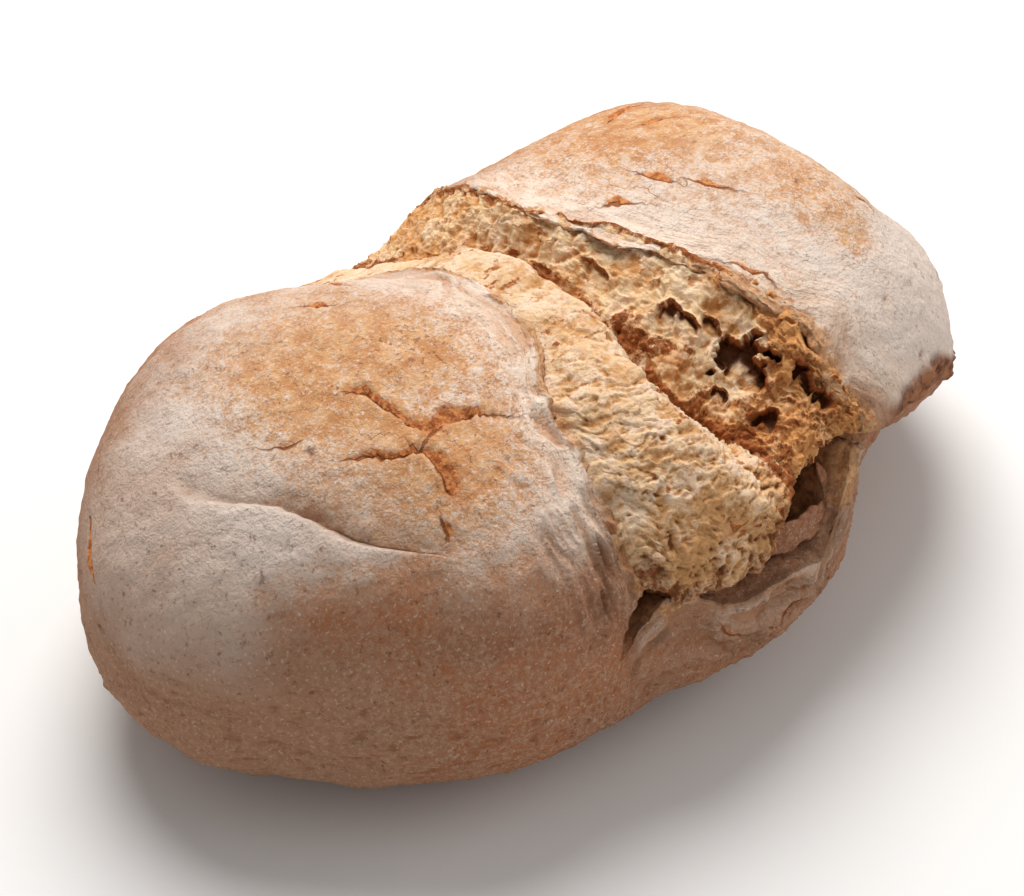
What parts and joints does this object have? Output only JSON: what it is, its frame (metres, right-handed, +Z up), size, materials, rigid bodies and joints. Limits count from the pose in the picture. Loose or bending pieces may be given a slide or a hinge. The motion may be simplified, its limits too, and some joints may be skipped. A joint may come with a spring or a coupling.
{
  "type": "rye bread loaf",
  "caption": "Oval hearth loaf of rye bread with a floured domed crust, burst open across the middle by a deep oven tear that shows the torn crumb.",
  "frame": {"origin": "centre of the bottom of the loaf's box, on the surface it rests on", "axes": "+X along the loaf from the near lobe to the far lobe, +Z up, -Y the side where the crust burst open"},
  "size_m": [0.25, 0.1536, 0.0944],
  "materials": {
    "crust": "dry floury baked crust"
  },
  "bodies": {
    "root": {"loaf": "crust"}
  },
  "joints": []
}
